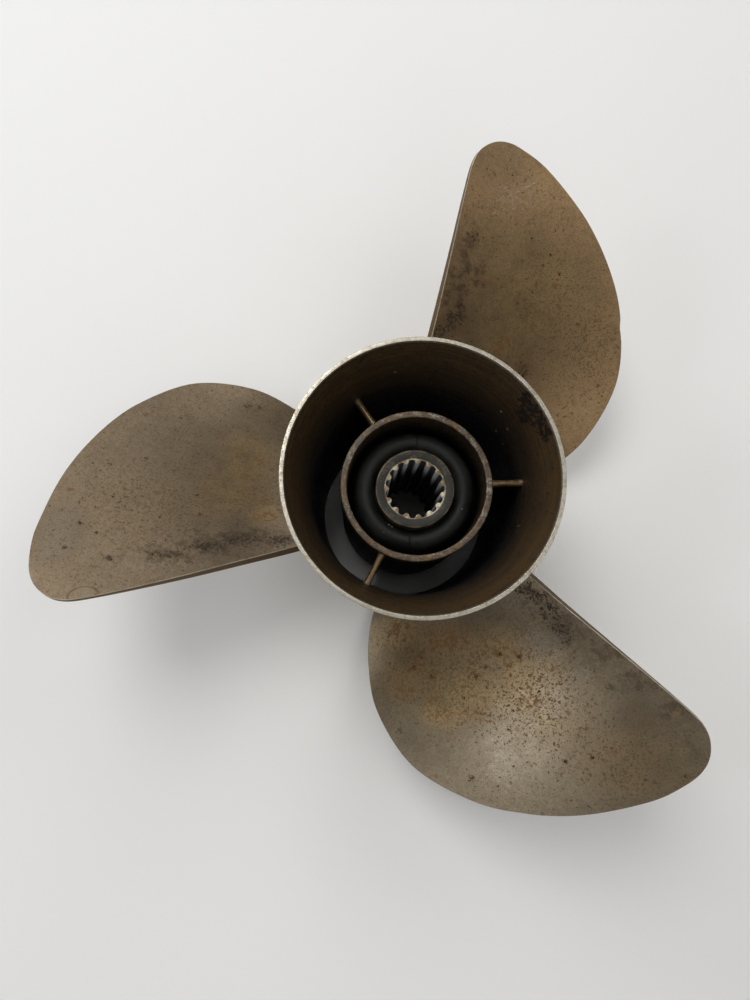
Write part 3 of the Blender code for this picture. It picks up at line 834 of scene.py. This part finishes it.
def innerHubMaterial():
    # a mottled brown, purple and grey end face, a dark bore and a sooty outside
    startMaterial("innerHubStain")
    height = heightAlong()
    large = noiseNode(130, 4, 0.65)
    medium = noiseNode(420, 5, 0.7)
    fine = noiseNode(1000, 4, 0.7)
    purple = ramp(medium, 0.42, 0.56)
    face = mixColour(purple, tube["facePurple"], tube["faceBrown"])
    grey = raggedMask(large, medium, 1.0, 1.1, 0.54, 0.70)
    face = cover(face, tube["faceGrey"], grey)
    rust = raggedMask(noiseNode(90, 3, 0.6), fine, 1.0, 0.8, 0.56, 0.70)
    face = cover(face, tube["faceRust"], rust, 0.55)
    face = cover(face, tube["facePit"], ramp(fine, 0.53, 0.64), 0.80)
    side = mixColour(rampMm(height, tube["sootFadeMm"]), tube["soot"], tube["boreBrown"])
    side = shadeBy(side, medium, 0.3, 0.7, 0.7, 1.3)
    colour = mixColour(rampMm(height, tube["faceFromMm"]), side, face)
    relief = mathNode("ADD", fine, medium)
    return finishMaterial(colour, noiseRange(medium, 0.36, 0.62), 0.7, relief, 0.10, 0.7)


def webRib(number, turn):
    # half width t/2 + f exp(-d / w), with d from the nearer end; the loop (y, z) is a flat plate
    # with two round edges
    share = np.linspace(0.0, 1.0, rib["along"])[:, None]
    ends, bow = hub["barrelEndMm"], rib["roundMm"]
    flared = ((rib["aftAtWallMm"] - ends) / (hub["lipHeightMm"] - ends)) ** hub["flarePower"]
    wallAtAft = lerp(hub["innerMm"][1], hub["lipInnerMm"], flared)
    half = rib["around"] // 2
    sweep = np.linspace(0.0, math.pi, half)[None, :]
    top = lerp(rib["aftAtHubMm"], rib["aftAtWallMm"], share) - bow
    bottom = np.broadcast_to(rib["forwardMm"] + bow - bow * np.sin(sweep), (rib["along"], half))
    heights = np.hstack([top + bow * np.sin(sweep), bottom])
    across = np.hstack([np.cos(sweep), -np.cos(sweep)])
    wall = np.where(heights > ends, wallAtAft, lerp(*hub["innerMm"], heights / ends))
    radius = lerp(tube["outerMm"] - rib["embedMm"], wall + rib["embedMm"], share)
    toEnds = np.maximum(np.minimum(radius - tube["outerMm"], wall - radius), 0.0)
    swell = rib["flareMm"] * np.exp(-toEnds / rib["flareOverMm"])
    y = across * (rib["thicknessMm"] / 2 + swell)
    z = heights + np.where(heights > ends / 2, swell, -swell) * rib["flareUp"]
    skin = np.stack([np.broadcast_to(radius, y.shape), y, z], axis=-1)
    skin = np.concatenate([skin, skin[:, :1]], axis=1)
    made = skinMesh(f"webRib{number}", [turnGrid(skin, rib["angle"] + turn)], 40.0)
    closeHoles(made)
    return made


def ribMaterial():
    # bronze-brown film, rubbed on the aft edge and black with soot below it
    startMaterial("ribFilm")
    mottled = noiseNode(480, 5, 0.7)
    film = mixColour(ramp(mottled, 0.38, 0.60), tube["faceBrown"], rib["bronze"])
    bare = rampMm(heightAlong(), rib["sootFadeMm"])
    colour = mixColour(bare, tube["soot"], film)
    rough = noiseRange(mottled, 0.30, 0.50)
    return finishMaterial(colour, rough, 0.75, mottled, 0.10, 0.6)


# Rubber bushing

bush = {
    "innerMm": 18.75, "outerMm": 31.9, "forwardMm": 14.0, "sides": 360,
    # the rounded aft end from the wall to the sleeve: radius and height
    "crown": [(31.9, 76.0), (31.0, 79.5), (29.9, 83.5), (28.9, 87.2), (27.6, 90.0), (25.8, 91.6),
              (23.8, 92.2), (21.8, 91.6), (20.2, 89.8), (19.2, 87.8), (18.75, 86.4)],
    "cornerMm": 1.5, "crownFromMm": 86.5, "crownOverMm": 3.0,
    # parting lines: their angles, their width, and the depth and height of the groove and its ridge
    "partLines": (86.0, 264.0), "partLineMm": 0.30, "grooveMm": 0.35, "ridgeMm": 0.25,
    "ridgeAsideMm": 0.5, "rubberBlack": (0.0075, 0.0075, 0.0078), "dust": (0.019, 0.0195, 0.019),
    "crumb": (0.45, 0.44, 0.42),
    # pale crumbs: x, y, z and radius in millimetres
    "crumbs": [(-12.0, -16.2, 90, 0.9), (-10.6, -17.2, 90, 0.6), (22.6, -9.0, 92, 0.35)],
}


def rubberBush():
    # a turned ring with two parting lines on its crown, each a groove beside a ridge:
    # z -+ exp(-(y / w)^2)
    crown = smoothCurve(bush["crown"], 8)
    inner, outer, bottom = bush["innerMm"], bush["outerMm"], bush["forwardMm"]
    corner, width = bush["cornerMm"], bush["partLineMm"]
    up = np.linspace(bottom + corner, crown[0, 1] - 1, 16)
    down = np.linspace(crown[-1, 1] - 1, bottom + corner, 16)
    profile = np.vstack([roundCorner((inner, bottom), (outer, bottom), (outer, 60), corner),
                         wallPoints(outer, up), crown, wallPoints(inner, down),
                         roundCorner((inner, 60), (inner, bottom), (outer, bottom), corner)])
    grid = turnedGrid(np.vstack([profile, profile[:1]]), bush["sides"])
    radius = np.hypot(grid[..., 0], grid[..., 1])
    angle = np.degrees(np.arctan2(grid[..., 1], grid[..., 0])) % 360.0
    onCrown = ease((grid[..., 2] - bush["crownFromMm"]) / bush["crownOverMm"])
    for line in bush["partLines"]:
        away = radius * np.radians((angle - line + 180.0) % 360.0 - 180.0)
        ridge = bush["ridgeMm"] * bump(away, bush["ridgeAsideMm"], width)
        grid[..., 2] += (ridge - bush["grooveMm"] * bump(away, 0.0, width)) * onCrown
    return skinMesh("rubberBush", [grid], 50.0)


def rubberMaterial():
    # black rubber with a dusty bloom, a few pale crumbs and faint turning marks
    startMaterial("dustyRubber")
    broad = noiseNode(90, 4, 0.6)
    fine = noiseNode(900, 4, 0.7)
    dusty = ramp(broad, 0.35, 0.7, 0.0, 0.9)
    colour = mixColour(dusty, bush["rubberBlack"], bush["dust"])
    colour = shadeBy(colour, fine, 0.3, 0.7, 0.75, 1.25)
    dots = flatSpots(pushedCoords(900, 0.5), 5.0, 0.10, 0.12, 0.30)
    crumbs = placesMask([(x, y, z, r, r * 0.6, 3.0) for x, y, z, r in bush["crumbs"]])
    crumbs = raggedMask(crumbs, noiseNode(1500, 3, 0.6), 0.8, 1.2, 0.45, 0.60)
    colour = cover(colour, bush["crumb"], strongest((dots, 0.5), (crumbs, 1.0)))
    rough, relief = noiseRange(broad, 0.55, 0.74), mathNode("ADD", fine, broad)
    return finishMaterial(colour, rough, 0.0, relief, 0.08, specular=0.35)


# Splined sleeve

sleeve = {
    "outerMm": 18.7, "spanMm": (10.0, 96.5), "teeth": 15, "majorMm": 14.0, "minorMm": 12.2,
    "toothAngle": 12.0, "landMm": 14.45, "edgeMm": 0.7,
    # the aft face's small step and the teeth's ends: radius past the land or tooth, and height
    "stepMm": [(0.15, 0.0), (0.0, -0.08), (-0.12, -0.25)],
    "toothEndMm": [(0.25, -0.25), (0.06, -0.33), (0.0, -0.60)],
    "pointsPerTooth": 26, "shoulder": 2.1, "landShare": 0.12,
    "patina": (0.036, 0.036, 0.032), "patinaPale": (0.095, 0.086, 0.066),
    "rimBrown": (0.18, 0.135, 0.082), "bareBrass": (0.60, 0.54, 0.40),
    "bareStain": (0.20, 0.14, 0.075), "flank": (0.74, 0.76, 0.79),
    # the last is painted shade for the bore's groove roots and depths
    "flankDull": (0.50, 0.50, 0.49), "flankPaintedShade": (0.006, 0.006, 0.007),
    # radii and heights in millimetres over which one finish passes into the next
    "rimFadeMm": (17.70, 18.35), "rootFadeMm": (12.7, 13.4), "deepFadeMm": (92, 64),
    "boreFadeMm": (14.5, 14.3), "tipFadeMm": (14.6, 14.5), "faceFadeMm": (95.5, 95.9),
    "reliefFadeMm": (14.3, 14.6), "metalFadeMm": (14.6, 14.4),
}


def splineRadius(degrees):
    # middle - swing * tanh(k (cos(teeth * a) - land)) / tanh(k): flat teeth with round shoulders
    phase = np.cos(np.radians((degrees - sleeve["toothAngle"]) * sleeve["teeth"]))
    middle = (sleeve["majorMm"] + sleeve["minorMm"]) / 2
    swing = (sleeve["majorMm"] - sleeve["minorMm"]) / 2
    sharp = sleeve["shoulder"]
    return middle - swing * np.tanh(sharp * (phase - sleeve["landShare"])) / math.tanh(sharp)


def splineSleeve():
    # rows of rings: the round outside, the end faces with their small step, and the toothed bore
    bottom, top = sleeve["spanMm"]
    count = sleeve["teeth"] * sleeve["pointsPerTooth"]
    angles = np.linspace(0.0, 360.0, count + 1)
    outer, edge, land = sleeve["outerMm"], sleeve["edgeMm"], sleeve["landMm"]
    plain = np.zeros(count + 1)
    tooth = splineRadius(angles)
    outside = np.vstack([roundCorner((0, bottom), (outer, bottom), (outer, top), edge),
                         wallPoints(outer, np.linspace(bottom + 3, top - 3, 10)),
                         roundCorner((outer, bottom), (outer, top), (0, top), edge),
                         [(land + past, top + up) for past, up in sleeve["stepMm"]]])
    rings = [(plain + radius, height) for radius, height in outside]
    rings += [(tooth + past, top + up) for past, up in sleeve["toothEndMm"]]
    rings += [(tooth, z) for z in np.linspace(top - 3, bottom + 3, 14)]
    rings += [(tooth, bottom + 0.3), (tooth + 0.3, bottom)]
    radius = np.stack([ring[0] for ring in rings])
    height = np.array([ring[1] for ring in rings])[:, None]
    grid = polarGrid(radius, angles[None, :], height)
    return skinMesh("splineSleeveBody", [np.concatenate([grid, grid[:1]], axis=0)], 38.0)


def sleeveMaterial():
    # dark patina outside, a bare ring and tooth ends at the aft face, and grey worn flanks with
    # painted shade in the groove roots and deeper down the bore
    startMaterial("sleevePatina")
    place = addNode("SeparateXYZ", {0: work["coords"]})
    height = place.outputs["Z"]
    flat = addNode("CombineXYZ", {0: place.outputs["X"], 1: place.outputs["Y"]}).outputs[0]
    radius = vectorNode("LENGTH", {0: flat})
    fine = noiseNode(900, 4, 0.7)
    broad = noiseNode(170, 4, 0.65)
    pale = raggedMask(broad, fine, 1.0, 0.9, 0.50, 0.72)
    patina = mixColour(pale, sleeve["patina"], sleeve["patinaPale"])
    rim = times(rampMm(radius, sleeve["rimFadeMm"]), ramp(broad, 0.36, 0.56))
    patina = cover(patina, sleeve["rimBrown"], rim)
    streaks = stretchedNoise((420, 420, 30), 3, 0.6)
    flank = mixColour(ramp(streaks, 0.36, 0.56), sleeve["flankDull"], sleeve["flank"])
    # painted shade: the flanks near black in the groove roots and deeper down the bore
    flank = cover(flank, sleeve["flankPaintedShade"], rampMm(radius, sleeve["rootFadeMm"]), 0.88)
    flank = cover(flank, sleeve["flankPaintedShade"], rampMm(height, sleeve["deepFadeMm"]), 0.96)
    colour = mixColour(rampMm(radius, sleeve["boreFadeMm"]), patina, flank)
    tips = times(rampMm(radius, sleeve["tipFadeMm"]), rampMm(height, sleeve["faceFadeMm"]))
    bare = mixColour(ramp(broad, 0.40, 0.58), sleeve["bareStain"], sleeve["bareBrass"])
    colour = cover(colour, shadeBy(bare, fine, 0.35, 0.65, 0.65, 1.1), tips)
    relief = times(mathNode("ADD", fine, broad), rampMm(radius, sleeve["reliefFadeMm"]))
    rough = mixValue(tips, noiseRange(fine, 0.42, 0.62), 0.40)
    metal = rampMm(radius, sleeve["metalFadeMm"], 0.80, 0.15)
    return finishMaterial(colour, rough, metal, relief, 0.06, 0.6)


# Stage: a pale floor, soft light from the upper left and the photograph's camera

stage = {
    "floorColour": (0.90, 0.90, 0.895, 1.0), "floorHalf": 3.0,
    "roomColour": (0.97, 0.98, 1.0, 1.0), "roomStrength": 0.155, "roomCeiling": (0.60, 0.85),
    # soft lights: degrees round from +X, degrees up, size in metres, watts, colour; all 1.8 m away
    "lightDistance": 1.8, "lightAimHeight": 0.05,
    "lights": [("upperLeftKey", 120, 62, 0.9, 11.1, (1.0, 0.98, 0.95)),
               ("lowLeft", 135, 20, 0.9, 9.9, (0.97, 0.99, 1.0)),
               ("upperRight", 45, 38, 0.9, 4.2, (1.0, 0.99, 0.97)),
               ("rightHigh", 0, 62, 0.9, 3.0, (1.0, 0.98, 0.95)),
               ("behind", 90, 38, 0.9, 1.8, (1.0, 0.99, 0.98)),
               ("left", 180, 38, 0.9, 1.2, (0.98, 0.99, 1.0)),
               ("below", 285, 38, 0.9, 1.8, (1.0, 0.98, 0.95)),
               ("belowHigh", 300, 62, 0.9, 1.8, (1.0, 0.98, 0.95)),
               ("leftHigh", 240, 62, 0.9, 1.2, (1.0, 0.99, 0.97)),
               ("lowerLeft", 225, 20, 0.9, 2.1, (0.98, 0.99, 1.0)),
               ("bladeSheen", 186, 43, 0.35, 1.7, (0.97, 0.98, 1.0)),
               ("topRight", 60, 80, 0.5, 0.5, (1.0, 0.99, 0.97)),
               ("topLeft", 150, 76, 0.5, 0.5, (1.0, 0.99, 0.97))],
    "cameraMm": (-28.2, -60.4, 444.0), "cameraRight": (0.99965, -0.00208, 0.02654),
    "cameraUp": (-0.00208, 0.98774, 0.15609), "focalPixels": 751.1, "imageHeightPixels": 1000,
    "sensorMm": 36.0,
}


def addCamera():
    data = bpy.data.cameras.new("photoCamera")
    data.sensor_width = stage["sensorMm"]
    data.lens = stage["sensorMm"] * stage["focalPixels"] / stage["imageHeightPixels"]
    data.clip_start = 0.01
    data.clip_end = 20.0
    made = newObject("photoCamera", data)
    right = Vector(stage["cameraRight"]).normalized()
    up = Vector(stage["cameraUp"])
    up = (up - right * up.dot(right)).normalized()
    back = right.cross(up)
    turned = Matrix((right, up, back)).transposed().to_4x4()
    made.matrix_world = Matrix.Translation(Vector(stage["cameraMm"]) * mm) @ turned
    bpy.context.scene.camera = made


def addAreaLight(name, azimuth, up, size, power, colour):
    data = bpy.data.lights.new(name, "AREA")
    data.shape = "DISK"
    data.size = size
    data.energy = power
    data.color = colour
    made = newObject(name, data)
    azimuth, up, away = math.radians(azimuth), math.radians(up), stage["lightDistance"]
    flat = away * math.cos(up)
    place = Vector((flat * math.cos(azimuth), flat * math.sin(azimuth), away * math.sin(up)))
    made.location = place + Vector((0, 0, stage["lightAimHeight"]))
    made.rotation_euler = (-place).to_track_quat("-Z", "Y").to_euler()


def addStage():
    half = stage["floorHalf"]
    mesh = bpy.data.meshes.new("paleFloor")
    corners = [(-half, -half, 0), (half, -half, 0), (half, half, 0), (-half, half, 0)]
    mesh.from_pydata(corners, [], [(0, 1, 2, 3)])
    startMaterial("paleGround")
    relief = noiseNode(14, 2)
    mesh.materials.append(finishMaterial(stage["floorColour"], 0.85, 0.0, relief, 1.0, 0.15))
    newObject("paleFloor", mesh)
    # the room is dim straight overhead, where the camera hangs
    world = bpy.data.worlds.new("softRoom")
    world.use_nodes = True
    work["tree"] = world.node_tree
    upward = addNode("SeparateXYZ", {0: addNode("TexCoord").outputs["Generated"]}).outputs["Z"]
    low, high = stage["roomCeiling"]
    glow = ramp(upward, high, low, 0.0, stage["roomStrength"])
    setInputs(world.node_tree.nodes["Background"], {0: stage["roomColour"], 1: glow})
    bpy.context.scene.world = world
    for light in stage["lights"]:
        addAreaLight(*light)
    bpy.context.scene.view_settings.view_transform = "Standard"


def finishPiece(made, materials, slot, *nodes):
    for material in materials:
        made.data.materials.append(material)
    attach(made, "root")
    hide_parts(*nodes)
    print("made", made.name, len(made.data.polygons), "faces")


addCamera()
addStage()
hubMaterials = [outsideMaterial(), lipMaterial(), sootyWallMaterial()]
finishPiece(hubShell(), hubMaterials, "hub_wall", "barrel", "exhaust_flare")
finishPiece(innerHubTube(), [innerHubMaterial()], "inner_hub", "inner_hub")
ribFilm = ribMaterial()
for number, turn in enumerate((0.0, 120.0, 240.0), 1):
    finishPiece(webRib(number, turn), [ribFilm], "inner_hub", f"rib_{number}")
    finishPiece(bladeSkin(number, turn), [bladeMaterial(number)], "blade", f"blade_{number}")
finishPiece(rubberBush(), [rubberMaterial()], "rubber", "rubber_bushing")
finishPiece(splineSleeve(), [sleeveMaterial()], "sleeve", "spline_sleeve")

print("pieces done")
